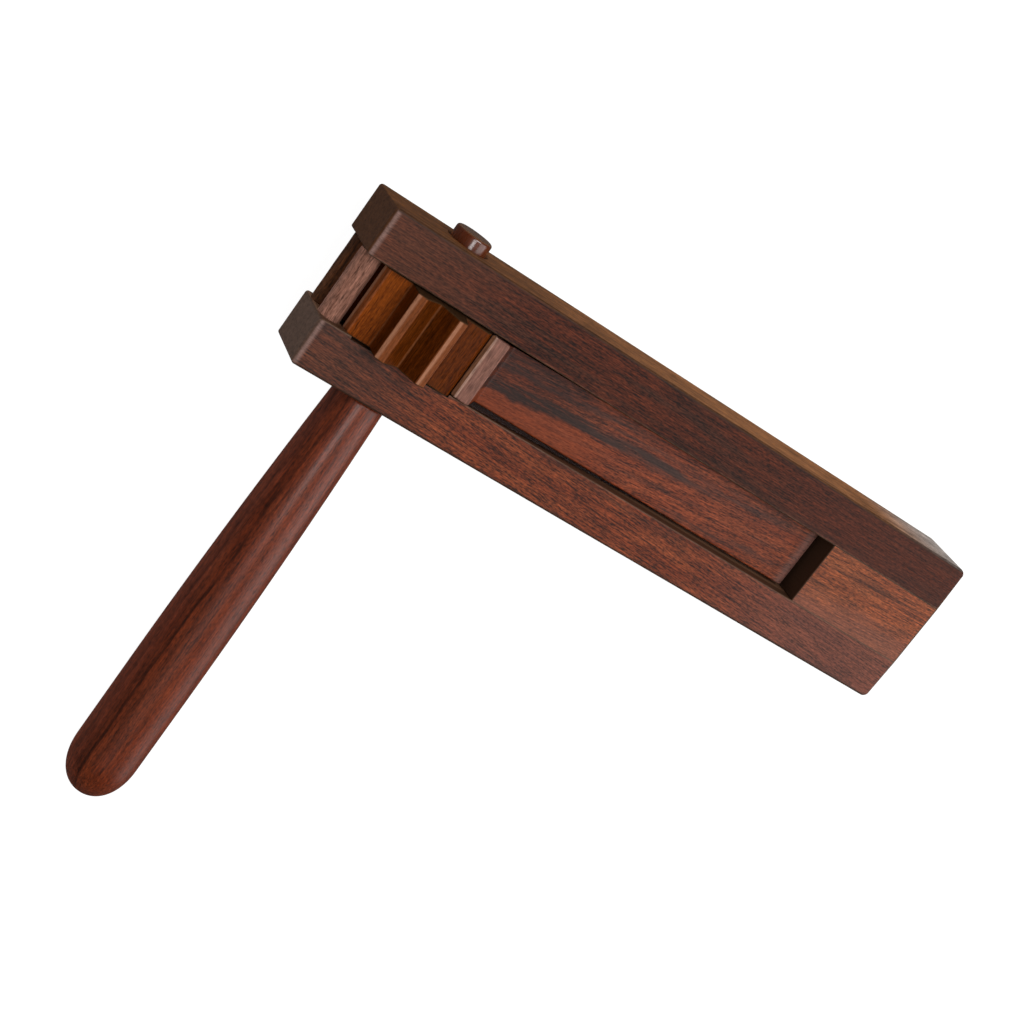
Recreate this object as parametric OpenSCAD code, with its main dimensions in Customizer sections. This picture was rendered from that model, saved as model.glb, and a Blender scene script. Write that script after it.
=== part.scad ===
// Wooden ratchet rattle: a frame of two bars swings round a toothed cog on the
// handle's axle, and a springy tongue snaps from tooth to tooth.
// Millimetres, +Z up. The rattle lies on its back: X runs along the frame, Y along the axle.

/* [Frame] */
// Length of the two bars
frame_l = 241; // [220:1:280]
// Depth of the frame from front to back
frame_d = 25; // [23:0.5:30]
// Width of each bar
bar_w = 16; // [13:0.5:20]
// Opening between the bars
slot_w = 23; // [20:0.5:28]
// Length of the block that joins the bars at the far end
block_l = 50; // [42:1:60]
// Chamfer along the outer edges of the glued-up frame
frame_ease = 0.8; // [0.4:0.1:1.2]
// Rounding of the frame's two far corners
corner_r = 2; // [1:0.25:4]

/* [Cog] */
// Teeth round the cog
cog_teeth = 9; // [8:1:10]
// Radius over the teeth
cog_tip_r = 21.5; // [20:0.1:23]
// Radius at the bottom of the notches
cog_root_r = 14.9; // [12:0.1:16]
// Width of the flat on each tooth
land_w = 3.3; // [1.5:0.1:4]
// Turn of one tooth from straight up, towards the far end
cog_lead = -27.5; // [-60:0.5:60]
// Depth of the round seat that the cog has worn in the lower bar
seat_depth = 1; // [0.5:0.1:2]
// Gap between the cog and its seat
cog_foot_gap = 0.3; // [0.3:0.1:0.5]
// Gap between the cog and the upper bar
cog_head_gap = 0.5; // [0.3:0.1:2]
// Gap between the passing teeth and the dowels
cog_run = 0.4; // [0.3:0.05:0.6]

/* [Handle] */
// Length of the grip below the frame
grip_l = 158; // [140:1:180]
// Grip radius beside the frame
grip_top_r = 8.6; // [8:0.1:11]
// Grip radius where it is thickest
grip_end_r = 11.1; // [9:0.1:14]
// Distance from the frame at which the grip reaches that radius
grip_full_in = 115; // [60:1:118]
// Length of the domed end
dome_l = 16; // [9:0.5:20]
// Radius of the axle
axle_r = 6.2; // [5:0.1:7]
// Length of the axle standing out of the upper bar
peg_h = 4; // [2:0.25:8]
// Running clearance round the axle
axle_gap = 0.1; // [0.05:0.01:0.1]
// Chamfer at the mouth of the axle's hole
mouth_ease = 0.9; // [0.4:0.1:1.5]
// Gap between the grip's shoulder and the lower bar
shoulder_gap = 0.4; // [0.3:0.1:1]

/* [Cross dowels] */
// Radius of the two dowels at the near end
dowel_r = 3.8; // [3:0.1:4.2]
// Distance of the dowels from the near end
dowel_in = 4.1; // [3.5:0.1:6]
// Distance of each dowel from mid depth
dowel_off = 5.5; // [4.6:0.1:7]
// Radius of the dowels' tenons
tenon_r = 2.2; // [1.6:0.1:2.6]
// Length of the dowels' tenons
tenon_l = 8; // [5:0.5:10]

/* [Tongue] */
// Gap between the tongue and the lower bar
tongue_foot_gap = 1.05; // [0.5:0.05:2]
// Gap between the tongue and the upper bar
tongue_head_gap = 0.5; // [0.5:0.05:2]
// Thickness of the slat
tongue_t = 8.25; // [7:0.25:9]
// Depth of the slat's back behind the axle's level, at the head
slat_drop = 0.5; // [0:0.25:1]
// Height of the head's ridge above the frame's front
head_proud = 2.4; // [1:0.1:4]
// Length of the bevel between the nose and the ridge
head_bevel = 4.4; // [3:0.1:6]
// Gap between the passing teeth and the nose
nose_run = 0.7; // [0.7:0.05:1]
// Set-back of the tongue's end behind the nose's circle
tip_set = 1; // [1:0.1:2]
// Depth of the nose's lower edge behind the frame's front
nose_drop = 0.2; // [0:0.1:1.5]
// Height and length of the blunt nose
nose_blunt = 1; // [0.5:0.1:1.2]
// Length of the slope behind the ridge
head_run = 4.4; // [3:0.1:6]
// Thickness of the springy neck
neck_t = 3; // [2:0.25:3]
// Length of the neck between the slat and the block
neck_l = 2.2; // [2.1:0.1:8]
// Rounding of the slat's shoulder above the neck
shoulder_r = 1.2; // [0.5:0.1:2]
// Length of the root glued into the block
root_l = 26; // [15:1:35]
// Gap at the bend line
bend_gap = 0.3; // [0.3:0.05:0.5]

/* [Hidden] */
$fn = 96;
// Glue clearance round tenons and axle
glue_gap = 0.05;
// Chamfers on the turned handle
turned_ease = 0.8;
// Form of the domed end: 2 is an ellipse, more is squarer
dome_form = 2.2;
// Steps in the domed end and along the grip's swelling length
dome_steps = 12;
swell_steps = 8;
// Steps round each far corner of the frame
corner_steps = 6;
frame_w = 2 * bar_w + slot_w;
mid_depth = frame_d / 2;
upper_z = bar_w + slot_w;
cog_pitch = 360 / cog_teeth;
land_half = asin(land_w / 2 / cog_tip_r);
cog_l = slot_w + seat_depth - cog_foot_gap - cog_head_gap;
// Radius of the circle kept clear round the passing teeth
sweep_r = cog_tip_r + cog_run;
axle_x = dowel_in + sqrt(pow(sweep_r + dowel_r, 2) - pow(dowel_off, 2));
block_x = frame_l - block_l;
tongue_w = slot_w - tongue_foot_gap - tongue_head_gap;
tongue_z = bar_w + tongue_foot_gap;
// The nose's lower edge lies on a circle round the axle, and the tongue's end outside the line square to it
nose_r = cog_tip_r + nose_run;
tip_x = axle_x + nose_r + tip_set;
nose_up = mid_depth - nose_drop;
nose_reach = sqrt(pow(nose_r, 2) - pow(nose_up, 2));
nose_x = axle_x + nose_reach;
heel_drop = nose_drop + (tip_x - nose_x) * nose_reach / nose_up;
ridge_x = nose_x + nose_blunt + head_bevel;
tip_back = mid_depth + slat_drop;
panel_set = tip_back - tongue_t;
hinge_x = block_x - neck_t / 2 - bend_gap;
shoulder_x = block_x - neck_l;
neck_front = mid_depth - neck_t / 2;
shoulder_front = neck_front + neck_t - tongue_t;
neck_back = mid_depth + neck_t / 2;
// Lowest point of the cog below its axis
function tooth_tilt(a) = max(0, abs((a % 360 + 360) % 360 - 180) - land_half);
cog_low = cog_tip_r * cos(min([for (i = [0:cog_teeth - 1]) tooth_tilt(cog_lead + i * cog_pitch)]));
// Place of the layout's corner: the near end, the lower bar's outer face, the frame's front
place_x = -frame_l / 2;
place_y = (grip_l - frame_w - peg_h) / 2;
place_z = cog_low + mid_depth;

// Pieces are laid out with x along the frame, y behind the front face and z along the axle
module placed() {
    translate([place_x, place_y, place_z]) rotate([-90, 0, 0]) children();
}

module on_axle(z) {
    translate([axle_x, mid_depth, z]) children();
}

function eased_outline(a, b, e) = [
    [e, 0], [a - e, 0], [a, e], [a, b - e],
    [a - e, b], [e, b], [0, b - e], [0, e]
];

// Quarter circle from angle a, round the middle c
function corner_arc(c, a) = [
    for (i = [0:corner_steps])
        let (t = a + 90 * i / corner_steps)
        c + corner_r * [cos(t), sin(t)]
];

// The frame seen from the front, its near corners chamfered and its far ones rounded
function plan_outline(l, w, e) = [
    [0, e], [e, 0],
    each corner_arc([l - corner_r, corner_r], -90),
    each corner_arc([l - corner_r, w - corner_r], 0),
    [e, w], [0, w - e]
];

// Outside of the glued-up frame, with every outer edge eased
module frame_outside() {
    intersection() {
        linear_extrude(frame_w) polygon(eased_outline(frame_l, frame_d, frame_ease));
        translate([0, frame_d, 0]) rotate([90, 0, 0])
            linear_extrude(frame_d) polygon(plan_outline(frame_l, frame_w, frame_ease));
        rotate([90, 0, 90]) linear_extrude(frame_l) polygon(eased_outline(frame_d, frame_w, frame_ease));
    }
}

// One bar's length of the frame, from z to z + bar_w
module bar_blank(z) {
    intersection() {
        frame_outside();
        translate([0, 0, z]) cube([frame_l, frame_d, bar_w]);
    }
}

module axle_hole(z) {
    on_axle(z - 1) cylinder(r = axle_r + axle_gap, h = bar_w + 2);
}

module tenon_holes(z) {
    for (side = [-1, 1])
        translate([dowel_in, mid_depth + side * dowel_off, z])
            cylinder(r = tenon_r + glue_gap, h = tenon_l + glue_gap);
}

// Bar on the peg's side, its hole opening in a chamfer round the peg
module upper_bar() {
    color([0.27, 0.15, 0.13]) placed() difference() {
        bar_blank(upper_z);
        axle_hole(upper_z);
        on_axle(frame_w - mouth_ease)
            cylinder(r1 = axle_r + axle_gap, r2 = axle_r + axle_gap + mouth_ease, h = mouth_ease);
        tenon_holes(upper_z);
    }
}

// Bar on the grip's side, with the cog's worn seat round the hole
module lower_bar() {
    color([0.33, 0.16, 0.12]) placed() difference() {
        bar_blank(0);
        axle_hole(0);
        on_axle(bar_w - seat_depth) cylinder(r = sweep_r, h = seat_depth + 1);
        translate([0, 0, bar_w - tenon_l - glue_gap]) tenon_holes(0);
    }
}

// Block glued between the bars, with the saw cut for the tongue's root
module end_block() {
    color([0.45, 0.24, 0.16]) placed() difference() {
        intersection() {
            frame_outside();
            translate([block_x, 0, bar_w]) cube([block_l, frame_d, slot_w]);
        }
        translate([block_x - 1, neck_front, bar_w - 1]) cube([root_l + 1, neck_t, slot_w + 2]);
    }
}

// Turned rod between the bars, with a thinner tenon at each end
module cross_dowel(depth) {
    translate([dowel_in, depth, bar_w]) {
        cylinder(r = dowel_r, h = slot_w);
        translate([0, 0, -tenon_l]) cylinder(r = tenon_r, h = slot_w + 2 * tenon_l);
    }
}

module front_dowel() {
    color([0.50, 0.32, 0.26]) placed() cross_dowel(mid_depth - dowel_off);
}

module rear_dowel() {
    color([0.40, 0.22, 0.10]) placed() cross_dowel(mid_depth + dowel_off);
}

// Radius of the domed end at a distance from its tip
function dome_r(s) = grip_end_r * pow(1 - pow(1 - s / dome_l, dome_form), 1 / dome_form);

// Radius of the grip at a distance below the frame
function swell_r(s) = grip_end_r - (grip_end_r - grip_top_r) * pow(1 - s / grip_full_in, 2);

// Grip, axle and peg turned from one piece
module handle() {
    color([0.36, 0.14, 0.10]) placed() on_axle(0) rotate_extrude() polygon([
        for (i = [0:dome_steps])
            let (s = dome_l * (1 - cos(90 * i / dome_steps)))
            [dome_r(s), s - grip_l],
        for (i = [swell_steps:-1:1])
            let (s = grip_full_in * i / swell_steps)
            [swell_r(s), -s],
        [swell_r(shoulder_gap + turned_ease), -shoulder_gap - turned_ease],
        [swell_r(shoulder_gap) - turned_ease, -shoulder_gap],
        [axle_r, -shoulder_gap],
        [axle_r, frame_w + peg_h - turned_ease],
        [axle_r - turned_ease, frame_w + peg_h],
        [0, frame_w + peg_h]
    ]);
}

function rim_point(r, a) = [r * sin(a), -r * cos(a)];

function tooth_points(a) = [
    rim_point(cog_tip_r, a - land_half),
    rim_point(cog_tip_r, a + land_half),
    rim_point(cog_root_r, a + cog_pitch / 2)
];

// Toothed wheel glued on the axle between the bars
module cog() {
    color([0.42, 0.20, 0.07]) placed() on_axle(bar_w - seat_depth + cog_foot_gap) difference() {
        linear_extrude(cog_l) polygon([
            for (i = [0:cog_teeth - 1]) each tooth_points(cog_lead + i * cog_pitch)
        ]);
        translate([0, 0, -1]) cylinder(r = axle_r + glue_gap, h = cog_l + 2);
    }
}

// Swinging length of the slat: raised head with a blunt nose and a bevel, panel, round shoulder and thin neck
module tongue() {
    color([0.34, 0.12, 0.10]) placed() translate([0, 0, tongue_z]) {
        linear_extrude(tongue_w) polygon([
            [tip_x, tip_back],
            [tip_x, heel_drop],
            [nose_x, nose_drop],
            [nose_x + nose_blunt, nose_drop - nose_blunt],
            [ridge_x, -head_proud],
            [ridge_x + head_run, panel_set],
            [shoulder_x - shoulder_r, shoulder_front],
            [shoulder_x, shoulder_front + shoulder_r],
            [shoulder_x, neck_front],
            [hinge_x, neck_front],
            [hinge_x, neck_back]
        ]);
        translate([shoulder_x - shoulder_r, shoulder_front + shoulder_r, 0])
            cylinder(r = shoulder_r, h = tongue_w);
        translate([hinge_x, mid_depth, 0]) cylinder(r = neck_t / 2, h = tongue_w);
    }
}

// End of the slat, held in the block's saw cut
module tongue_root() {
    color([0.34, 0.12, 0.10]) placed()
        translate([block_x, neck_front, tongue_z]) cube([root_l, neck_t, tongue_w]);
}

upper_bar();
lower_bar();
end_block();
front_dowel();
rear_dowel();
handle();
cog();
tongue();
tongue_root();
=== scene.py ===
import bpy
import numpy as np
from mathutils import Matrix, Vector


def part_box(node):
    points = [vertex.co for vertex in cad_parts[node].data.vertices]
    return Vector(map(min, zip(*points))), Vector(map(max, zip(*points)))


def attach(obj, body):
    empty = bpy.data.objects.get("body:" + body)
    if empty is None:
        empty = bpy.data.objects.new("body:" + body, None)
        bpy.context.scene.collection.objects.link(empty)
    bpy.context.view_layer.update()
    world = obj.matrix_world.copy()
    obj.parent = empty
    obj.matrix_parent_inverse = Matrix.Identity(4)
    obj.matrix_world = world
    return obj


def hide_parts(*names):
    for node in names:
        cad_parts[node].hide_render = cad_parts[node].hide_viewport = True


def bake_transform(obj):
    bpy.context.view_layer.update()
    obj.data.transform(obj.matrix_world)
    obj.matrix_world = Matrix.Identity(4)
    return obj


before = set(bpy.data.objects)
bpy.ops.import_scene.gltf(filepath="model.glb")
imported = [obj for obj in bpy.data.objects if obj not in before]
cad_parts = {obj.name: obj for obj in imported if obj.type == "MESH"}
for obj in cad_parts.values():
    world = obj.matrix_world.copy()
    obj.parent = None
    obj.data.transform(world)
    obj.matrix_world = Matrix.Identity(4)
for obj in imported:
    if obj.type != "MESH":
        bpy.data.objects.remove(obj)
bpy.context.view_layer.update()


# The two bars: straight lengths of dark rosewood, planed square, with edges and ends sanded round by hand.
# The end block is glued flush between them, the axle's hole in the upper bar is eased at its mouth, and
# the cog has worn a shallow round seat in the lower bar.

MM = 0.001
bar_lo, bar_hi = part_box("upper_bar")
base_lo, base_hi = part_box("lower_bar")
block_lo, block_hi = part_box("end_block")
handle_lo, handle_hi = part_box("handle")
axle_x = (handle_lo[0] + handle_hi[0]) / 2
axle_z = (handle_lo[2] + handle_hi[2]) / 2
axle_r = 6.2 * MM
slot_mid = (block_lo[1] + block_hi[1]) / 2
frame_half = bar_hi[1] - slot_mid
near_round, edge_round, corner_round = 1.4 * MM, 0.8 * MM, 2.2 * MM
slot_round, glued_round = 0.4 * MM, 0.005 * MM
crown, crown_run = 0.7 * MM, 10 * MM
waviness = 0.06 * MM
station_gap = 4 * MM
sharp_angle = np.radians(35)
hole_r, mouth = axle_r + 0.1 * MM, 0.9 * MM
seat_r, seat_depth = 21.9 * MM, 1 * MM
tenon_hole_r, tenon_hole_l = 2.25 * MM, 8.05 * MM


def quarter(steps):
    """Angles of a quarter turn, from 0 to 90 degrees."""
    return np.linspace(0, np.pi / 2, steps + 1)


def stations(start, end, ease_start, ease_end, gap):
    """Positions along a stick: gap apart, and closer where its ends are rounded.

    At a rounded end of radius e the positions are end - e (1 - cos a) for a from 0 to 90 degrees.
    """
    eased = 1 - np.cos(quarter(7))
    run = np.arange(start + ease_start + gap, end - ease_end - gap / 2, gap)
    return np.concatenate([start + ease_start * eased, run, (end - ease_end * eased)[::-1]])


def rounding(distance, ease):
    """How far a rounded edge is drawn in at a distance from its end.

    That is e (1 - sqrt(1 - t t)), where e is the edge's radius and t = 1 - distance / e.
    """
    t = np.clip(1 - distance / ease, 0, 1)
    return ease * (1 - np.sqrt(1 - t * t))


def squared_rings(x, y, z, round_off):
    """Rings of a squared stick along X: each is a rectangle whose corners are quarter circles.

    y and z hold the low and high side at each x. A corner's point is its centre plus
    r (cos a, sin a); the four corners run round the ring from (high y, low z).
    """
    turn = quarter(5)[None, :]
    rings = []
    for k, (side_y, side_z) in enumerate(((1, 0), (1, 1), (0, 1), (0, 0))):
        r = round_off[:, k][:, None]
        a = turn + (k - 1) * np.pi / 2
        corner_y = y[:, side_y][:, None] - (2 * side_y - 1) * r + r * np.cos(a)
        corner_z = z[:, side_z][:, None] - (2 * side_z - 1) * r + r * np.sin(a)
        rings.append(np.stack([x[:, None] + 0 * a, corner_y, corner_z], -1))
    return np.concatenate(rings, 1)


def crowned(rings, far):
    """Draws the far end back towards its corners.

    A point moves by the crown times the square of its distance from mid width, and the move dies
    out over the crown's run.
    """
    reach = np.clip((rings[..., 0] - far) / crown_run + 1, 0, 1)
    out = (rings[..., 1] - slot_mid) / frame_half
    return rings - np.stack([crown * out * out * reach, 0 * out, 0 * out], -1)


def skin(name, rings, closed=False):
    """One mesh over an array of rings, rings[i, j] being point j of ring i.

    Neighbouring rings are joined by four-sided faces. The two end rings are filled by a flat
    face each, or joined to one another where the skin is closed on itself. The faces are turned
    round where the volume that they enclose comes out negative.
    """
    n, m = rings.shape[:2]
    i, j = np.meshgrid(np.arange(n if closed else n - 1), np.arange(m), indexing="ij")
    i2, j2 = (i + 1) % n, (j + 1) % m
    quads = np.stack([i * m + j, i * m + j2, i2 * m + j2, i2 * m + j], -1).reshape(-1, 4)
    points = rings.reshape(-1, 3)
    corners = points[quads] - points.mean(0)
    volume = np.einsum("ij,ij->i", corners[:, 0], np.cross(corners[:, 1], corners[:, 2])).sum()
    volume += np.einsum("ij,ij->i", corners[:, 0], np.cross(corners[:, 2], corners[:, 3])).sum()
    faces = quads.tolist()
    if not closed:
        faces += [list(range(m))[::-1], list(range((n - 1) * m, n * m))]
    if volume < 0:
        faces = [face[::-1] for face in faces]
    mesh = bpy.data.meshes.new(name)
    mesh.from_pydata(points.tolist(), [], faces)
    mesh.update()
    mesh.shade_smooth()
    mesh.set_sharp_from_angle(angle=sharp_angle)
    piece = bpy.data.objects.new(name, mesh)
    bpy.context.scene.collection.objects.link(piece)
    return piece


def even_flats(piece):
    """Lets the large flat faces set the normals beside them, so that only the rounded edges shade round."""
    normals = piece.modifiers.new("flats", "WEIGHTED_NORMAL")
    normals.weight = 100
    normals.keep_sharp = True


def turned_rings(y, r, centre=(axle_x, axle_z), steps=96):
    """Rings of a turned piece: at each y, a circle of radius r about a line along Y through centre."""
    a = np.linspace(0, 2 * np.pi, steps, endpoint=False)[None, :]
    y, r = np.asarray(y)[:, None], np.asarray(r)[:, None]
    return np.stack([centre[0] + r * np.sin(a), y + 0 * a, centre[1] + r * np.cos(a)], -1)


def cut_out(piece, rings):
    """Cuts the form with these rings out of a piece, for a hole, a seat or a saw cut."""
    tool = skin("tool", rings)
    cut = piece.modifiers.new("cut", "BOOLEAN")
    cut.operation = "DIFFERENCE"
    cut.solver = "EXACT"
    cut.object = tool
    bpy.context.view_layer.update()
    mesh = bpy.data.meshes.new_from_object(piece.evaluated_get(bpy.context.evaluated_depsgraph_get()))
    piece.modifiers.remove(cut)
    old, piece.data = piece.data, mesh
    mesh.name = piece.name
    mesh.set_sharp_from_angle(angle=sharp_angle)
    bpy.data.meshes.remove(old)
    bpy.data.meshes.remove(tool.data)


def frame_bar(name, lo, hi, outer_high):
    """A bar: squared rings along X, drawn in at both ends.

    Its inner side stays full and sharp beside the block. Elsewhere its front and back wander by a
    product of two sines.
    """
    x = stations(lo[0], hi[0], near_round, corner_round, station_gap)
    near, far = rounding(x - lo[0], near_round), rounding(hi[0] - x, edge_round)
    beside_block = np.clip((x - block_lo[0]) / MM + 1, 0, 1)
    wander = waviness * (1 - beside_block) * (1 + np.sin(x * 61 + 3 * outer_high) * np.sin(x * 23 + 1))
    inner, outer = near, near + rounding(hi[0] - x, corner_round)
    low, high = (inner, outer) if outer_high else (outer, inner)
    y = np.stack([lo[1] + low, hi[1] - high], -1)
    z = np.stack([lo[2] + near + far + wander, hi[2] - near - far - wander], -1)
    inner_round = slot_round + (glued_round - slot_round) * beside_block
    outer_round = edge_round + 0 * x
    at_high, at_low = (outer_round, inner_round) if outer_high else (inner_round, outer_round)
    corners = np.stack([at_high, at_high, at_low, at_low], -1)
    corners = np.maximum(corners - (near + far)[:, None], glued_round)
    return skin(name, crowned(squared_rings(x, y, z, corners), hi[0]))


upper = frame_bar("upper_bar_wood", bar_lo, bar_hi, True)
cut_out(upper, turned_rings(
    [bar_lo[1] - 2 * MM, bar_hi[1] - mouth, bar_hi[1] + MM], [hole_r, hole_r, hole_r + mouth + MM]))
lower = frame_bar("lower_bar_wood", base_lo, base_hi, False)
cut_out(lower, turned_rings([base_lo[1] - 2 * MM, base_hi[1] + 2 * MM], [hole_r, hole_r]))
cut_out(lower, turned_rings([base_hi[1] - seat_depth, base_hi[1] + MM], [seat_r, seat_r], steps=160))
for node in ("front_dowel", "rear_dowel"):
    lo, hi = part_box(node)
    centre = ((lo[0] + hi[0]) / 2, (lo[2] + hi[2]) / 2)
    hole = [tenon_hole_r, tenon_hole_r]
    cut_out(upper, turned_rings([bar_lo[1] - MM, bar_lo[1] + tenon_hole_l], hole, centre, steps=32))
    cut_out(lower, turned_rings([base_hi[1] - tenon_hole_l, base_hi[1] + MM], hole, centre, steps=32))


class Shade:
    """A value or colour that changes over a surface: one output socket in a material's node tree."""

    def __init__(self, tree, socket=None):
        self.tree, self.socket = tree, socket

    def make(self, kind, settings=None, sockets=None, out=0):
        """Adds a node of that kind, sets its settings, then fills or links its sockets by name or number."""
        node = self.tree.nodes.new(kind)
        for key, value in (settings or {}).items():
            setattr(node, key, value)
        for key, value in (sockets or {}).items():
            if isinstance(value, Shade):
                self.tree.links.new(value.socket, node.inputs[key])
            else:
                node.inputs[key].default_value = value
        return Shade(self.tree, node.outputs[out] if len(node.outputs) else None)

    def math(self, operation, a, b):
        """One step of arithmetic on two values, each a Shade or a number."""
        return self.make("ShaderNodeMath", {"operation": operation}, {0: a, 1: b})

    def __add__(self, other):
        return self.math("ADD", self, other)

    def __radd__(self, other):
        return self.math("ADD", other, self)

    def __sub__(self, other):
        return self.math("SUBTRACT", self, other)

    def __rsub__(self, other):
        return self.math("SUBTRACT", other, self)

    def __mul__(self, other):
        return self.math("MULTIPLY", self, other)

    def __rmul__(self, other):
        return self.math("MULTIPLY", other, self)

    def __pow__(self, other):
        return self.math("POWER", self, other)

    def least(self, other):
        return self.math("MINIMUM", self, other)

    def most(self, other):
        return self.math("MAXIMUM", self, other)

    def between(self, low, high):
        """0 at low, 1 at high, eased in between; low may be above high."""
        return self.make(
            "ShaderNodeMapRange", {"interpolation_type": "SMOOTHSTEP"},
            {"Value": self, "From Min": low, "From Max": high, "To Min": 0.0, "To Max": 1.0},
        )

    def noise(self, size, detail=2.0, rough=0.5, shift=(0, 0, 0)):
        """Noise over this position, its cells size metres long in each direction."""
        place = self.make(
            "ShaderNodeMapping", None, {"Vector": self, "Location": shift, "Scale": [1 / s for s in size]},
        )
        return self.make(
            "ShaderNodeTexNoise", None,
            {"Vector": place, "Scale": 1.0, "Detail": detail, "Roughness": rough},
        )

    def mix(self, a, b):
        """Colour a where this is 0, colour b where it is 1; sockets 6 and 7 are the node's colours."""
        a, b = (c if isinstance(c, Shade) else (*c, 1.0) for c in (a, b))
        return self.make("ShaderNodeMix", {"data_type": "RGBA"}, {0: self, 6: a, 7: b}, out=2)

    def times(self, colour):
        """A colour made darker or lighter by this value."""
        colour = colour if isinstance(colour, Shade) else (*colour, 1.0)
        grey = self.make("ShaderNodeCombineColor", None, {0: self, 1: self, 2: self})
        return self.make(
            "ShaderNodeMix", {"data_type": "RGBA", "blend_type": "MULTIPLY"},
            {0: 1.0, 6: colour, 7: grey}, out=2,
        )

    def parts(self):
        """The three coordinates of this position."""
        return [self.make("ShaderNodeSeparateXYZ", None, {0: self}, out=k) for k in range(3)]


def wood(piece, grain, tones, shift=(0, 0, 0), slant=0, vein=(5.0, 0.36, 0.56), wave=1.0, blush=0.5,
         fibre=1.0, pore=0.4, line=0.2, gloss=(0.46, 0.14), shine=0.2, relief=0.35, coat=(0.0, 0.1),
         finish=None):
    """Gives a piece wood whose grain runs along an axis, turned off it by slant degrees about Z.

    tones are the dark band, the body and the blush. vein is the width of the dark bands in millimetres
    and where on their noise they start and end; wave is how far they wander. blush is how much of the
    lighter, redder tone lies in clouds over the body, fibre the strength of the fine threads, pore that
    of the short dark dashes and line that of the long thin dark lines. gloss is the roughness and how
    far the threads change it, shine the strength of reflections and relief that of the raised grain.
    coat is the weight and roughness of a clear coat; its weight may be a function of the position.
    finish takes the position, colour, roughness and threads and returns the colour and roughness
    changed, for wear.
    """
    material = bpy.data.materials.new(piece.name + "_finish")
    material.use_nodes = True
    tree = material.node_tree
    tree.nodes.clear()
    blank = Shade(tree)
    place = blank.make("ShaderNodeTexCoord", out="Object")
    turn = (0, 0, np.radians(slant))
    along = place.make("ShaderNodeMapping", None, {"Vector": place, "Rotation": turn})
    drift = place.make(
        "ShaderNodeTexNoise", None, {"Vector": place, "Scale": 38.0, "Detail": 2.0}, out="Color",
    )
    drift = drift.make("ShaderNodeVectorMath", {"operation": "SUBTRACT"}, {0: drift, 1: (0.5, 0.5, 0.5)})
    bent = drift.make(
        "ShaderNodeVectorMath", {"operation": "MULTIPLY_ADD"}, {0: drift, 1: (wave * 4 * MM,) * 3, 2: along},
    )

    def layer(position, across, length, detail, rough, step):
        size = [length * MM if axis == grain else across * MM for axis in "XYZ"]
        return position.noise(size, detail, rough, [s + step for s in shift])

    width, start, end = vein
    bands = layer(bent, width, width * 16, detail=3.0, rough=0.55, step=0.0).between(start, end)
    clouds = layer(bent, 4.0, 36.0, detail=3.0, rough=0.6, step=8.5).between(0.38, 0.66)
    streaks = layer(along, 0.6, 11.0, detail=3.0, rough=0.6, step=3.1)
    flecks = layer(along, 0.36, 1.5, detail=1.0, rough=0.5, step=4.4)
    threads = streaks * 0.56 + flecks * 0.44
    pores = layer(along, 0.45, 3.2, detail=0.0, rough=0.5, step=5.7).between(0.60, 0.72)
    lines = layer(along, 0.7, 48.0, detail=1.0, rough=0.5, step=7.3).between(0.56, 0.66)
    dark, body, light = tones
    colour = bands.mix(dark, body)
    colour = (clouds * blush).mix(colour, light)
    colour = (1.0 + (threads - 0.5) * (4.2 * fibre)).most(0.2).times(colour)
    colour = ((1.0 - pores * pore) * (1.0 - lines * line)).times(colour)
    rough = gloss[0] + (threads - 0.5) * gloss[1] + pores * 0.1
    if finish:
        colour, rough = finish(place, colour, rough, threads)
    raised = threads * 0.6 - pores * pore * 0.8
    normal = raised.make(
        "ShaderNodeBump", None, {"Strength": relief, "Distance": 0.12 * MM, "Height": raised},
    )
    shader = blank.make("ShaderNodeBsdfPrincipled", None, {
        "Base Color": colour, "Roughness": rough, "Normal": normal, "Specular IOR Level": shine,
        "Coat Weight": coat[0](place) if callable(coat[0]) else coat[0], "Coat Roughness": coat[1],
    })
    blank.make("ShaderNodeOutputMaterial", None, {"Surface": shader})
    piece.data.materials.clear()
    piece.data.materials.append(material)


def end_grain(place, x, lo, hi):
    """1 on the two sawn ends of a piece that lies along X, and their speckle of cut fibres."""
    ends = x.between(lo + 0.8 * MM, lo + 0.25 * MM).most(x.between(hi - 1.3 * MM, hi - 0.75 * MM))
    return ends, 0.2 + 1.6 * place.noise([1.1 * MM] * 3, 3.0, 0.65)


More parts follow.
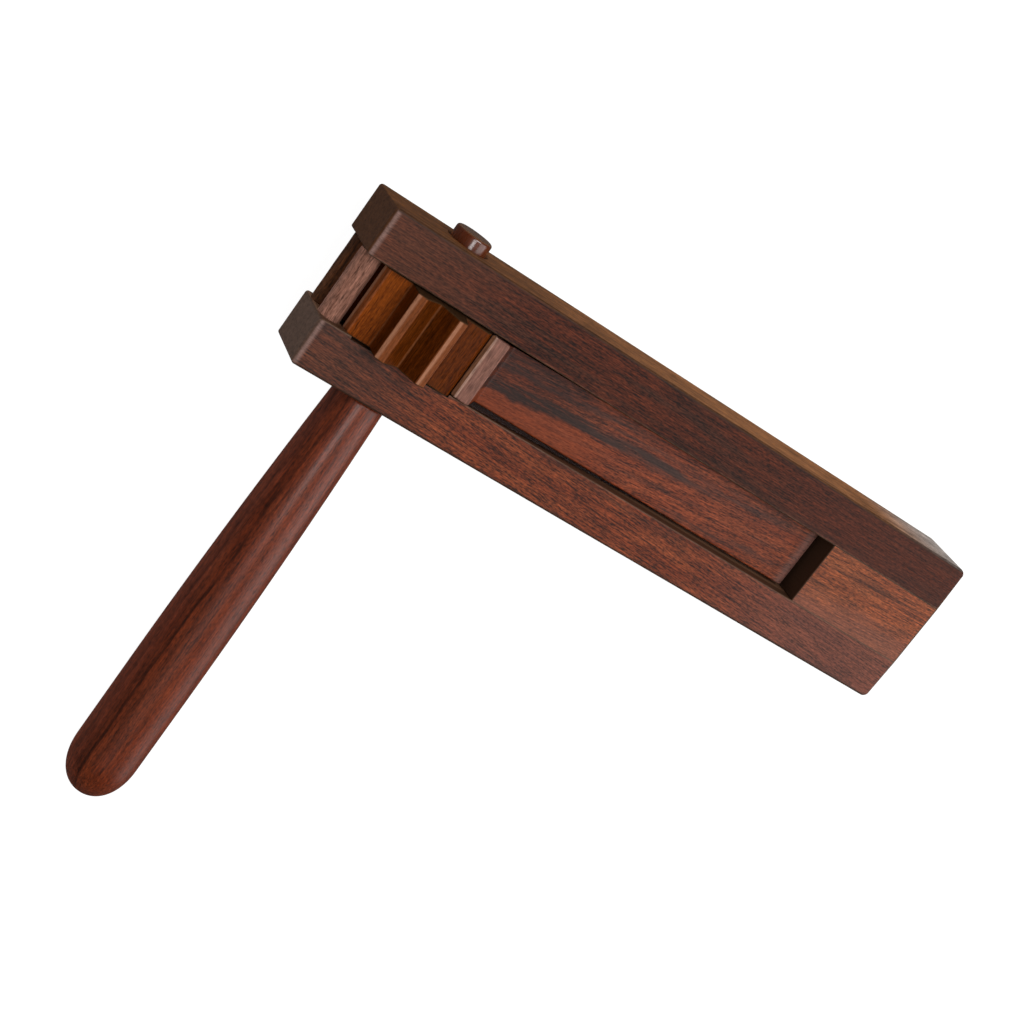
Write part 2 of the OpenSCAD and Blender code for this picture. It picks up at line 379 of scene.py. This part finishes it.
def bar_wear(lo, hi, outer_high, pale, end_tone, near_sheen_tone, far_sheen_tone, slot_wall_light_tone):
    """Wear of a bar, and light and shade painted on it.

    The outer face is paler, partly bleached and partly painted light that is brightest at the far end:
    pale holds its tone at the near end, in the middle and at the far end. The long front edge beside that
    face is dark with handling, the front turns greyer towards both ends with a painted sheen, and its near
    edge is rubbed and carries a painted highlight. The side in the slot is painted dark near the front and
    pale deep down, a painted shade and light; its front edge is rubbed in places, the cog's seat carries a
    painted shade, and the sawn ends are dull.
    """
    side, slot_side, inward = (hi[1], lo[1], -1) if outer_high else (lo[1], hi[1], 1)
    near_edge_highlight, rubbed_slot = (0.25, 0.150, 0.125), (0.19, 0.095, 0.062)
    handled_edge, seat_shade_tone = (0.026, 0.0115, 0.006), (0.040, 0.0185, 0.0100)

    def finish(place, colour, rough, threads):
        x, y, z = place.parts()
        front = z.between(hi[2] - 1.2 * MM, hi[2] - 0.5 * MM)
        # Painted sheen: the front turns greyer towards both ends.
        dull = x.between(lo[0] + 62 * MM, lo[0] + 8 * MM) * front
        colour = (dull * 0.6).mix(colour, (3.4 * threads - 0.7).most(0.2).times(near_sheen_tone))
        dull = x.between(hi[0] - 95 * MM, hi[0] - 35 * MM) * front
        colour = (dull * 0.55).mix(colour, (3.8 * threads - 0.9).most(0.2).times(far_sheen_tone))
        # Painted highlight on the rubbed near edge, on top of its wear.
        rubbed = x.between(lo[0] + 2.6 * MM, lo[0] + 0.9 * MM) * front
        colour = (rubbed * (1.5 * threads - 0.1)).least(1.0).mix(colour, near_edge_highlight)
        # Partly bleached wood, partly painted light that is brightest at the far end.
        bleach_and_light = x.between(lo[0], lo[0] + 150 * MM).mix(pale[0], pale[1])
        bleach_and_light = x.between(hi[0] - 45 * MM, hi[0]).mix(bleach_and_light, pale[2])
        outer = y.between(side + inward * 0.7 * MM, side + inward * 0.25 * MM)
        weather = 2.2 * place.noise([16 * MM, 5 * MM, 3 * MM], 3.0, 0.65, (2.7, 1.3, 0.4)) - 0.1
        colour = (outer * 0.95).mix(colour, ((4.0 * threads - 1.0).most(0.3) * weather).times(bleach_and_light))
        edge = ((y - side) * inward + (hi[2] - z)).between(1.3 * MM, 0.5 * MM)
        colour = (edge * 0.8).mix(colour, handled_edge)
        worn = ((slot_side - y) * inward + (hi[2] - z)).between(0.8 * MM, 0.3 * MM)
        colour = (worn * threads.between(0.45, 0.6) * 0.6).mix(colour, rubbed_slot)
        # Painted shade and light: the slot's side is dark near the front and pale deep down.
        inner = y.between(slot_side - inward * 0.6 * MM, slot_side - inward * 0.2 * MM)
        deep_wall_light = z.between(hi[2] - 4 * MM, hi[2] - 6 * MM)
        colour = (inner * 0.85).mix(colour, (0.5 + deep_wall_light).times(slot_wall_light_tone))
        # Painted shade in the cog's seat under the cog.
        if not outer_high:
            out_x, out_z = x - axle_x, z - axle_z
            seat = (out_x * out_x + out_z * out_z).between((seat_r + 0.1 * MM) ** 2, seat_r ** 2)
            seat = seat * y.between(slot_side - seat_depth - 0.3 * MM, slot_side - seat_depth - 0.05 * MM)
            colour = seat.mix(colour, seat_shade_tone)
        ends, speckle = end_grain(place, x, lo[0], hi[0])
        colour = ends.mix(colour, speckle.times(end_tone))
        return colour, (rough + outer * 0.2 + ends * 0.25).least(0.85)
    return finish


wood(
    upper, "X", ((0.034, 0.0105, 0.0052), (0.055, 0.0104, 0.0031), (0.080, 0.0155, 0.0050)),
    shift=(0.3, 1.7, 0.2), vein=(3.5, 0.34, 0.58), wave=0.6, blush=0.35, fibre=1.6, pore=0.3, line=0.35,
    shine=0.16, finish=bar_wear(
        bar_lo, bar_hi, outer_high=True,
        pale=((0.138, 0.0470, 0.0090), (0.282, 0.107, 0.030), (0.360, 0.310, 0.280)),
        end_tone=(0.073, 0.0265, 0.0090), near_sheen_tone=(0.090, 0.029, 0.0145),
        far_sheen_tone=(0.063, 0.0135, 0.0060), slot_wall_light_tone=(0.090, 0.050, 0.027),
    ),
)
wood(
    lower, "X", ((0.051, 0.0137, 0.0064), (0.115, 0.0205, 0.0056), (0.172, 0.0385, 0.0116)),
    shift=(4.1, 0.6, 2.2), slant=3, vein=(4.5, 0.26, 0.46), blush=0.7, fibre=1.6, pore=0.4, line=0.3,
    shine=0.22, finish=bar_wear(
        base_lo, base_hi, outer_high=False,
        pale=((0.075, 0.030, 0.013), (0.100, 0.042, 0.018), (0.110, 0.050, 0.024)),
        end_tone=(0.098, 0.054, 0.0360), near_sheen_tone=(0.034, 0.0170, 0.0110),
        far_sheen_tone=(0.116, 0.044, 0.0320), slot_wall_light_tone=(0.160, 0.084, 0.046),
    ),
)
for bar, node in ((upper, "upper_bar"), (lower, "lower_bar")):
    even_flats(bar)
    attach(bar, "frame")
    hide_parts(node)


# The end block: a short length of lighter, orange-brown rosewood, sawn square, glued flush
# between the bars and sanded with them. A saw cut in its inner face takes the tongue's root.

root_lo, root_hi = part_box("tongue_root")
glue, sawn_round = 0.03 * MM, 0.3 * MM


def block_rings(x, y_lo, y_hi, z_lo, z_hi):
    """Sharp-cornered squared rings along X between these sides, which are numbers or one value for each x."""
    y = np.stack([y_lo + 0 * x, y_hi + 0 * x], -1)
    z = np.stack([z_lo + 0 * x, z_hi + 0 * x], -1)
    return squared_rings(x, y, z, np.full((len(x), 4), glued_round))


block_x = stations(block_lo[0], block_hi[0], sawn_round, edge_round, station_gap)
draw = rounding(block_x - block_lo[0], sawn_round) + rounding(block_hi[0] - block_x, edge_round)
block = skin("end_block_wood", crowned(
    block_rings(block_x, block_lo[1], block_hi[1], block_lo[2] + draw, block_hi[2] - draw), block_hi[0]))
cut_x = np.array([block_lo[0] - MM, root_hi[0] + glue])
cut_out(block, block_rings(
    cut_x, block_lo[1] - MM, block_hi[1] + MM, root_lo[2] - glue, root_hi[2] + glue))


def block_wear(place, colour, rough, threads):
    """The side by the lower bar is greyer, the sawn face carries a painted shade and the far end is dull end
    grain.
    """
    grey_tone, end_tone, sawn_face_shade_tone = (0.165, 0.058, 0.036), (0.090, 0.042, 0.022), (0.060, 0.027, 0.0140)
    x, y = place.parts()[:2]
    drift = (place.noise([40 * MM, 6 * MM, 20 * MM], 3.0, 0.6, (2.2, 0.3, 1.9)) - 0.5) * (14 * MM)
    grey = (y + drift).between(block_lo[1] + 12 * MM, block_lo[1] + 2 * MM)
    colour = (grey * 0.6).mix(colour, (2.6 * threads - 0.3).times(grey_tone))
    ends, speckle = end_grain(place, x, block_lo[0] - 5 * MM, block_hi[0])
    colour = ends.mix(colour, speckle.times(end_tone))
    # Painted shade on the sawn face in the pit beside the tongue's neck.
    sawn = x.between(block_lo[0] + 0.5 * MM, block_lo[0] + 0.2 * MM)
    colour = sawn.mix(colour, sawn_face_shade_tone)
    return colour, (rough + sawn * 0.3 + ends * 0.25).least(0.85)


wood(
    block, "X", ((0.110, 0.0265, 0.0083), (0.198, 0.0425, 0.0110), (0.267, 0.070, 0.0208)),
    shift=(2.0, 3.3, 5.2), slant=-2, vein=(2.2, 0.34, 0.60), wave=0.5, fibre=1.4, pore=0.25, line=0.5,
    shine=0.25, finish=block_wear,
)
even_flats(block)
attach(block, "frame")
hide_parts("end_block")


# The two cross dowels: thin turned rods that hold the near ends of the bars apart. The front
# one is left bare and has gone pinkish and dull; the rear one is stained. Their tenons are
# glued into blind holes in the bars.

dowel_r, unevenness = 3.8 * MM, 0.012
tenon_r, tenon_l = 2.2 * MM, 8 * MM


def cross_dowel(name, node):
    """A rod along Y with a thinner tenon beyond each bar's face.

    The rod's radius varies along it by a product of two sines.
    """
    lo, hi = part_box(node)
    y = np.linspace(base_hi[1], bar_lo[1], 40)
    uneven = 1 - unevenness * (1 + np.sin(y * 410 + lo[2] * 900) * np.sin(y * 170))
    along = np.concatenate([[base_hi[1] - tenon_l, base_hi[1]], y, [bar_lo[1], bar_lo[1] + tenon_l]])
    radius = np.concatenate([[tenon_r, tenon_r], dowel_r * uneven, [tenon_r, tenon_r]])
    centre = ((lo[0] + hi[0]) / 2, (lo[2] + hi[2]) / 2)
    return skin(name, turned_rings(along, radius, centre, steps=64))


def shaded_front_rod(place, colour, rough, threads):
    """The front rod is painted darker on the side towards the cog, a painted shade."""
    cog_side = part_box("front_dowel")[1][0]
    # Painted shade on the side towards the cog.
    cog_side_shade = place.parts()[0].between(cog_side - 3.2 * MM, cog_side - 0.6 * MM)
    return (cog_side_shade * 0.75).mix(colour, (0.045, 0.020, 0.012)), rough


front_rod = cross_dowel("front_dowel_wood", "front_dowel")
rear_rod = cross_dowel("rear_dowel_wood", "rear_dowel")
wood(
    front_rod, "Y", ((0.140, 0.056, 0.035), (0.228, 0.100, 0.067), (0.300, 0.145, 0.103)),
    shift=(1.2, 6.1, 3.0), vein=(2.4, 0.28, 0.55), fibre=0.8, gloss=(0.68, 0.12), shine=0.12, relief=0.5,
    finish=shaded_front_rod,
)
wood(
    rear_rod, "Y", ((0.040, 0.012, 0.003), (0.088, 0.026, 0.0062), (0.130, 0.044, 0.013)),
    shift=(3.4, 2.1, 1.0), vein=(2.4, 0.30, 0.55),
)
for rod, node in ((front_rod, "front_dowel"), (rear_rod, "rear_dowel")):
    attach(rod, "frame")
    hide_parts(node)


# The handle: grip, axle and peg turned in one from red rosewood with dark streaks, polished
# with wax. The axle runs in the bars and its end stands out of the upper one as a short peg.

grip_end, peg_top = handle_lo[1], handle_hi[1]
shoulder = base_lo[1] - 0.4 * MM
grip_r, shoulder_r = 11.1 * MM, 8.6 * MM
dome_l, dome_power = 16 * MM, 2.2
swell_l = 115 * MM
neck_ease, peg_ease, peg_face_r = 1.4 * MM, 0.9 * MM, 1.5 * MM
growth_lines = (
    (-0.74, 0.06, 0.6), (-0.86, 0.22, 0.35), (-0.52, 0.05, 0.25), (-1.25, 0.08, 0.3), (0.60, 0.05, 0.25),
    (1.5, 0.07, 0.6), (2.5, 0.06, 0.5), (-2.3, 0.08, 0.7),
)


def handle_profile():
    """Places along Y and radii of the turned handle, from the dome to the peg's face.

    The dome is a quarter of a superellipse. The grip then narrows from its full radius to the
    shoulder's by the square of the way along the swell, and the neck and peg end in quarter circles.
    """
    dome_y = dome_l * (1 - np.cos(quarter(26)))[1:]
    dome_r = grip_r * (1 - (1 - dome_y / dome_l) ** dome_power) ** (1 / dome_power)
    grip_y = np.linspace(grip_end + dome_l, shoulder - neck_ease, 60)[1:]
    way = 1 - np.clip((base_lo[1] - grip_y) / swell_l, 0, 1)
    swell_r = grip_r - (grip_r - shoulder_r) * way ** 2
    bend = quarter(6)
    neck_y = shoulder - neck_ease + neck_ease * np.sin(bend[1:])
    neck_r = swell_r[-1] - neck_ease * (1 - np.cos(bend[1:]))
    peg_y = peg_top - peg_ease + peg_ease * np.sin(bend)
    peg_r = axle_r - peg_ease * (1 - np.cos(bend))
    y = np.concatenate([grip_end + dome_y, grip_y, neck_y, [shoulder, shoulder + MM], peg_y, [peg_top]])
    return y, np.concatenate([dome_r, swell_r, neck_r, [axle_r, axle_r], peg_r, [peg_face_r]])


def handled(place, colour, rough, threads):
    """Thin dark growth lines run down the grip at a few angles; the axle and peg are varnished dark.

    Each line has its angle, half width and strength. It is dark where the square of the angle to it,
    with some wander along the grip, is small. The peg's sawn top is dull.
    """
    varnished, sawn_top = (0.085, 0.0165, 0.0020), (0.125, 0.050, 0.016)
    x, y, z = place.parts()
    angle = x.math("ARCTAN2", x - axle_x, z - axle_z)
    wander = (place.noise([60 * MM, 40 * MM, 60 * MM], 2.0, 0.5, (3.7, 0.4, 1.1)) - 0.5) * 0.5
    patchy = place.noise([30 * MM, 22 * MM, 30 * MM], 2.0, 0.6, (1.3, 2.2, 0.6)).between(0.40, 0.56)
    patchy = 0.6 + 0.4 * patchy
    for at, half, strength in growth_lines:
        away = angle + wander - at
        growth = (away * away).between(half * half, 0.0)
        colour = (1.0 - growth * patchy * strength).times(colour)
    peg = y.between(shoulder, shoulder + MM)
    colour = (peg * 0.75).mix(colour, varnished)
    top = y.between(peg_top - 0.45 * MM, peg_top - 0.15 * MM)
    colour = top.mix(colour, (0.6 + 0.8 * threads).times(sawn_top))
    return colour, rough - peg * 0.12 + top * 0.35


def varnish(place):
    """The wax on the grip is thin; the axle and peg carry a full coat of varnish."""
    return 0.12 + 0.88 * place.parts()[1].between(shoulder, shoulder + MM)


handle = skin("handle_wood", turned_rings(*handle_profile(), steps=128))
wood(
    handle, "Y", ((0.086, 0.0142, 0.0030), (0.124, 0.0185, 0.0034), (0.165, 0.030, 0.0078)),
    shift=(0.4, 0.9, 4.4), vein=(6.0, 0.24, 0.56), wave=0.6, fibre=0.9, pore=0.25, line=0.25,
    gloss=(0.40, 0.10), shine=0.34, relief=0.15, coat=(varnish, 0.16), finish=handled,
)
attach(handle, "handle")
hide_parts("handle")


# The cog: a wheel with straight-sided notches, cut across the grain of a thick rod, varnished
# orange brown and glued on the axle. The tongue has rubbed the flats of its teeth pale.

cog_lo, cog_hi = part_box("cog")
cog_tip, cog_root = 21.5 * MM, 14.9 * MM
cog_teeth, cog_lead = 9, np.radians(-27.5)
tooth_pitch, land_w = 2 * np.pi / cog_teeth, 3 * MM
land_half = np.arcsin(land_w / 2 / cog_tip)
tip_ease, root_ease, cog_ease = 0.55 * MM, 0.4 * MM, 0.3 * MM
cog_bore_r = axle_r + 0.05 * MM


def eased_outline(corners, radii, steps):
    """Closed outline whose corners are arcs.

    A corner of half angle h is cut back by r / tan h along both sides; the arc's centre lies
    r / sin h inside it, and the arc sweeps from one cut point to the other about that centre.
    """
    p = np.asarray(corners, float)
    r = np.asarray(radii, float)[:, None]
    a, b = np.roll(p, 1, 0) - p, np.roll(p, -1, 0) - p
    a /= np.linalg.norm(a, axis=1)[:, None]
    b /= np.linalg.norm(b, axis=1)[:, None]
    half = 0.5 * np.arccos(np.clip((a * b).sum(1), -1, 1))[:, None]
    inward = (a + b) / np.linalg.norm(a + b, axis=1)[:, None]
    centre = p + inward * r / np.sin(half)
    first, last = p + a * r / np.tan(half) - centre, p + b * r / np.tan(half) - centre
    sweep = (np.pi - 2 * half)[:, :, None]
    t = np.linspace(0, 1, steps + 1)[None, :, None]
    arc = (np.sin((1 - t) * sweep) * first[:, None] + np.sin(t * sweep) * last[:, None]) / np.sin(sweep)
    return (centre[:, None] + arc).reshape(-1, 2)


def outline_rings(outline, start, end, ease, gap):
    """An outline in X and Z carried along Y, drawn in along its own normals where both ends are rounded."""
    y = stations(start, end, ease, ease, gap)
    draw_in = rounding(y - start, ease) + rounding(end - y, ease)
    ahead = np.roll(outline, -1, 0)
    along = ahead - np.roll(outline, 1, 0)
    along /= np.linalg.norm(along, axis=1)[:, None]
    turn = np.sign((outline[:, 0] * ahead[:, 1] - outline[:, 1] * ahead[:, 0]).sum())
    inward = turn * np.stack([-along[:, 1], along[:, 0]], -1)
    xz = outline[None] + draw_in[:, None, None] * inward[None]
    return np.stack([xz[..., 0], np.broadcast_to(y[:, None], xz.shape[:2]), xz[..., 1]], -1)


def cog_rings():
    """Rings of the cog, from its bore at one end, over its teeth, to its bore at the other.

    Each tooth's outline has the two corners of its flat on the tip circle and, half a pitch on, the
    bottom of a notch on the root circle. The bore's points lie on the spokes of the outline's own.
    """
    tooth = cog_lead + np.arange(cog_teeth) * tooth_pitch
    angle = np.stack([tooth - land_half, tooth + land_half, tooth + tooth_pitch / 2], -1).ravel()
    radius = np.tile([cog_tip, cog_tip, cog_root], cog_teeth)
    corners = np.stack([axle_x + radius * np.sin(angle), axle_z + radius * np.cos(angle)], -1)
    outline = eased_outline(corners, np.tile([tip_ease, tip_ease, root_ease], cog_teeth), steps=5)
    spoke = outline - [axle_x, axle_z]
    spoke *= cog_bore_r / np.linalg.norm(spoke, axis=1)[:, None]
    bore = np.stack([axle_x + spoke[:, 0], 0 * spoke[:, 0], axle_z + spoke[:, 1]], -1)
    teeth = outline_rings(outline, cog_lo[1], cog_hi[1], cog_ease, 3 * MM)
    return np.concatenate([[bore + [0, cog_lo[1], 0]], teeth, [bore + [0, cog_hi[1], 0]]])


def rubbed_teeth(place, colour, rough, threads):
    """The flats of the teeth, beyond a radius from the axle, are rubbed pale; the ends are dull end grain.

    Each flat is palest along its near corner, partly wear and partly a painted highlight. Painted light
    and shade by the angle round the axle: the teeth past an angle on one side are brightest, those past an
    angle on the other side less dark, and the rest darkest. The bottoms of the notches carry a painted
    highlight.
    """
    flat_tone, corner_highlight_tone = (0.250, 0.078, 0.030), (0.330, 0.150, 0.085)
    root_highlight_tone, end_tone = (0.16, 0.055, 0.020), (0.048, 0.022, 0.009)
    x, y, z = place.parts()
    x, z = x - axle_x, z - axle_z
    radius = (x * x + z * z) ** 0.5
    angle = x.math("ARCTAN2", x, z)
    # Painted light and shade by the angle round the axle.
    teeth_light = angle.between(-0.62, -0.85)
    colour = (0.62 + 0.72 * teeth_light).times(colour)
    colour = (1.0 + 0.3 * angle.between(0.5, 0.8)).times(colour)
    land = radius.between(cog_tip - 0.6 * MM, cog_tip - 0.15 * MM) * angle.between(0.7, 0.5)
    colour = (land * 0.55).mix(colour, (0.1 + 1.8 * threads).times(flat_tone))
    across = x.math("FLOORED_MODULO", angle - (cog_lead - land_half), tooth_pitch)
    # Partly wear, partly a painted highlight along each flat's near corner.
    corner = land * across.between(1.1 * land_half, 0.5 * land_half)
    colour = (corner * (1.8 * threads - 0.1)).least(0.9).mix(colour, corner_highlight_tone)
    # Painted highlight along the bottoms of the notches.
    root = radius.between(cog_root + 0.5 * MM, cog_root + 0.1 * MM)
    colour = (root * (1.6 * threads - 0.2)).least(0.8).mix(colour, root_highlight_tone)
    end = y.between(cog_lo[1] + 0.5 * MM, cog_lo[1] + 0.15 * MM)
    end = end.most(y.between(cog_hi[1] - 0.5 * MM, cog_hi[1] - 0.15 * MM))
    speckle = 0.2 + 1.6 * place.noise([0.9 * MM] * 3, 3.0, 0.65)
    colour = end.mix(colour, speckle.times(end_tone))
    return colour, (rough + end * 0.35).least(0.85)


cog = skin("cog_wood", cog_rings(), closed=True)
wood(
    cog, "Y", ((0.058, 0.0110, 0.0010), (0.118, 0.0235, 0.0020), (0.160, 0.038, 0.0045)),
    shift=(5.0, 1.1, 2.7), vein=(2.6, 0.26, 0.50), fibre=0.7, pore=0.3, line=0.3, gloss=(0.34, 0.08),
    shine=0.03, relief=0.25, finish=rubbed_teeth,
)
even_flats(cog)
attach(cog, "handle")
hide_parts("cog")


# The tongue: a springy slat of streaked rosewood, thinned to a neck where it enters the end
# block, with a raised head at its tip whose bevel the teeth strike. Its root is glued into the
# block's saw cut.

tongue_lo, tongue_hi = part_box("tongue")
front_z = bar_hi[2]
slat_t, slat_drop, slat_side_ease = 8.25 * MM, 0.5 * MM, 0.6 * MM
slat_back = axle_z - slat_drop
panel_z = slat_back + slat_t
neck_top, neck_low = root_hi[2], root_lo[2]
neck_l, shoulder_rise = 2.2 * MM, 5.25 * MM
shoulder_x = block_lo[0] - neck_l
blunt, bevel_run, ridge_run, ridge_rise = 1 * MM, 4.7 * MM, 4.4 * MM, 2.4 * MM
nose_x, nose_z = tongue_lo[0] - 0.5 * MM, front_z - 0.2 * MM
ridge_x = nose_x + blunt + bevel_run
tip_x, tip_z, heel_z = axle_x + 22.3 * MM, slat_back - 1.7 * MM, front_z - 6 * MM
head_foot = 0.75 * MM
# Corners of the outline seen from the side: x, z and the radius of the bend.
tongue_corners = np.array([
    (tip_x, tip_z, 0.6 * MM),
    (tip_x, heel_z, 1.5 * MM),
    (nose_x, nose_z, 0.3 * MM),
    (nose_x + blunt, nose_z + blunt, 0.4 * MM),
    (ridge_x, front_z + ridge_rise, 0.6 * MM),
    (ridge_x + ridge_run, panel_z, 1.6 * MM),
    (shoulder_x, neck_top + shoulder_rise, 3.2 * MM),
    (shoulder_x, neck_top, 0.1 * MM),
    (root_hi[0], neck_top, 0.3 * MM),
    (root_hi[0], neck_low, 0.3 * MM),
    (block_lo[0] - 2 * MM, neck_low, 20 * MM),
])
band_rise = 0.078
dark_bands = (
    (3.3, 1.6, -72, 0, 0.75), (-2.9, 3.0, -72, 30, 0.95), (-2.3, 1.6, 34, 62, 0.55),
    (-16.0, 1.7, 14, 66, 0.6), (0.6, 1.0, -50, 20, 0.5), (7.2, 1.3, -72, -36, 0.5),
)


def tongue_rings():
    """The tongue's outline, each corner rounded by its own radius, carried along Y.

    The head is longer than the slat is wide: below mid width its points move on by a share of
    head_foot that grows with their distance from mid width and dies out behind the ridge.
    """
    outline = eased_outline(tongue_corners[:, :2], tongue_corners[:, 2], steps=8)
    rings = outline_rings(outline, tongue_lo[1], tongue_hi[1], slat_side_ease, 2 * MM)
    low_half = np.clip((slot_mid - rings[..., 1]) / (slot_mid - tongue_lo[1]), 0, 1)
    at_head = np.clip((ridge_x + 3 * MM - rings[..., 0]) / (2 * MM), 0, 1)
    rings[..., 1] -= head_foot * low_half * at_head
    return rings


def struck_head(place, colour, rough, threads):
    """Dark bands run aslant down the slat; the head's bevel is worn to bare, pinkish wood, partly painted
    sheen.

    Each band has its height across the slat at the head, half width, start, end and strength, in
    millimetres. It is dark where the square of the distance to its line, with some wander, is small.
    The slat is painted darker near the head, a painted shade, and a little darker towards the far end.
    Below the bands the slat glows red by the head. The rounded shoulder carries a painted grey sheen and
    the foot of its step a painted shade.
    """
    band_tone, glow_tone = (0.041, 0.0205, 0.0160), (0.240, 0.0430, 0.0105)
    nose_tone, blunt_edge_highlight_tone, bevel_wood_sheen_tone = (0.165, 0.070, 0.034), (0.330, 0.190, 0.140), (0.208, 0.094, 0.068)
    shoulder_sheen_tone, pit_shade_tone = (0.130, 0.072, 0.060), (0.014, 0.0065, 0.0035)
    x, y, z = place.parts()
    wander = (place.noise([16 * MM, 7 * MM, 26 * MM], 4.0, 0.65, (0.7, 2.9, 1.4)) - 0.5) * (5.0 * MM)
    across = y - slot_mid - band_rise * (x - nose_x) + wander
    patchy = place.noise([22 * MM, 1.4 * MM, 14 * MM], 3.0, 0.6, (5.1, 0.2, 3.3)).between(0.30, 0.58)
    for at, half, start, end, strength in dark_bands:
        away = across - at * MM
        band = (away * away).between((half * MM) ** 2, 0.0)
        band = band * x.between((start - 6) * MM, start * MM) * x.between((end + 10) * MM, (end - 22) * MM)
        colour = (band * patchy * strength).mix(colour, (2.0 * threads).times(band_tone))
    # Painted shade near the head, and a little darker towards the far end.
    near, far = x.between(-8 * MM, -46 * MM), x.between(20 * MM, 45 * MM)
    colour = (0.86 - 0.42 * near - 0.1 * far).times(colour)
    glow = across.between(-4.5 * MM, -6.0 * MM) * x.between(-6 * MM, -30 * MM)
    colour = (glow * 0.45).mix(colour, (2.0 * threads).times(glow_tone))
    # Bare, worn wood on the head: the bright strip at the blunt edge is a painted highlight and the bevel's
    # pinkish tone is partly painted sheen.
    head = x.between(ridge_x + 0.45 * MM, ridge_x + 0.1 * MM)
    bare = x.between(nose_x + 0.9 * MM, nose_x + 1.1 * MM).mix(nose_tone, blunt_edge_highlight_tone)
    bare = x.between(nose_x + 1.5 * MM, nose_x + 1.9 * MM).mix(bare, bevel_wood_sheen_tone)
    scratch = place.noise([0.6 * MM, 5 * MM, 0.6 * MM], 3.0, 0.65, (1.9, 4.2, 0.8))
    bare = (2.4 * scratch - 0.2).most(0.3).times(bare)
    colour = (head * (0.6 + 0.8 * threads)).least(1.0).mix(colour, bare)
    # Painted grey sheen on the rounded shoulder.
    rubbed = x.between(shoulder_x - 6.5 * MM, shoulder_x - 2.2 * MM)
    colour = (rubbed * threads.between(0.15, 0.55) * 0.7).mix(colour, shoulder_sheen_tone)
    # Painted shade in the pit at the foot of the shoulder's step.
    pit = x.between(shoulder_x - 0.5 * MM, shoulder_x - 0.2 * MM)
    foot = z.between(neck_top + 4.6 * MM, neck_top + 4.0 * MM)
    colour = (pit * foot).mix(colour, pit_shade_tone)
    return colour, (rough + head * 0.2 + pit * 0.1).least(0.85)


tongue = skin("tongue_wood", tongue_rings())
wood(
    tongue, "X", ((0.075, 0.0230, 0.0140), (0.150, 0.0275, 0.0085), (0.215, 0.048, 0.0165)),
    shift=(1.1, 2.4, 0.7), slant=-4.4, vein=(3.2, 0.30, 0.52), blush=0.6, fibre=1.5, pore=0.25,
    shine=0.22, finish=struck_head,
)
even_flats(tongue)
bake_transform(tongue)
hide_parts("tongue", "tongue_root")


# The setting: the rattle lies on its back on a white light table, under a large soft light from
# above, a window in front and two panels on the right that give the sheen, and a fill from the
# left. Table and fill don't show in the gloss. The camera stands where the photo was taken from.

table_half, table_top = 30.0, -0.3 * MM
rattle_middle = (-0.01, 0.05, 0.02)
table_mesh = bpy.data.meshes.new("table")
table_mesh.from_pydata(
    [(x * table_half, y * table_half, table_top) for x, y in ((-1, -1), (1, -1), (1, 1), (-1, 1))],
    [], [(0, 1, 2, 3)],
)
table = bpy.data.objects.new("table", table_mesh)
bpy.context.scene.collection.objects.link(table)
white = bpy.data.materials.new("white_table")
white.use_nodes = True
surface = white.node_tree.nodes["Principled BSDF"]
surface.inputs["Base Color"].default_value = (0.12, 0.12, 0.12, 1)
surface.inputs["Roughness"].default_value = 0.9
surface.inputs["Specular IOR Level"].default_value = 0.1
surface.inputs["Emission Color"].default_value = (1, 1, 1, 1)
surface.inputs["Emission Strength"].default_value = 0.97
table_mesh.materials.append(white)
table.visible_glossy = False


def standing(right, up, back, place):
    """The matrix of a lamp or camera at a place: its columns are right, up, back and the place itself."""
    matrix = np.eye(4)
    matrix[:3] = np.stack([right, up, back, place], 1)
    return Matrix(matrix.tolist())


def soft_light(name, place, size, watts):
    """A square white area light at a place, facing the middle of the rattle."""
    lamp = bpy.data.lights.new(name, "AREA")
    lamp.shape = "SQUARE"
    lamp.size = size
    lamp.energy = watts
    light = bpy.data.objects.new(name, lamp)
    back = np.array(place) - rattle_middle
    back /= np.linalg.norm(back)
    right = np.cross((0, 1, 0.1), back)
    right /= np.linalg.norm(right)
    light.matrix_world = standing(right, np.cross(back, right), back, place)
    bpy.context.scene.collection.objects.link(light)
    return light


soft_light("sky_panel", (0.2, 0.6, 1.0), size=0.7, watts=8.5)
soft_light("right_panel", (1.0, 0.05, 0.8), size=1.05, watts=6.0)
soft_light("front_window", (-0.16, -0.06, 1.3), size=0.4, watts=4.0)
soft_light("right_glow", (1.2, -0.4, 0.35), size=0.9, watts=2.4)
soft_light("left_fill", (-0.8, -0.1, 0.9), size=1.0, watts=2.5).visible_glossy = False
world = bpy.data.worlds.new("room")
world.use_nodes = True
background = world.node_tree.nodes["Background"]
background.inputs["Color"].default_value = (1, 1, 1, 1)
background.inputs["Strength"].default_value = 0.06
bpy.context.scene.world = world
bpy.context.scene.view_settings.view_transform = "Standard"

lens = bpy.data.cameras.new("camera")
lens.sensor_width = 36
lens.lens = 73.589
lens.clip_start = 0.01
lens.clip_end = 100
camera = bpy.data.objects.new("camera", lens)
camera.matrix_world = standing(
    right=(0.770126, 0.582560, 0.259864),
    up=(-0.444714, 0.782387, -0.436006),
    back=(-0.457313, 0.220214, 0.861609),
    place=(bar_lo[0] - 208.37 * MM, base_lo[1] + 137.0 * MM, front_z + 557.76 * MM),
)
bpy.context.scene.collection.objects.link(camera)
bpy.context.scene.camera = camera
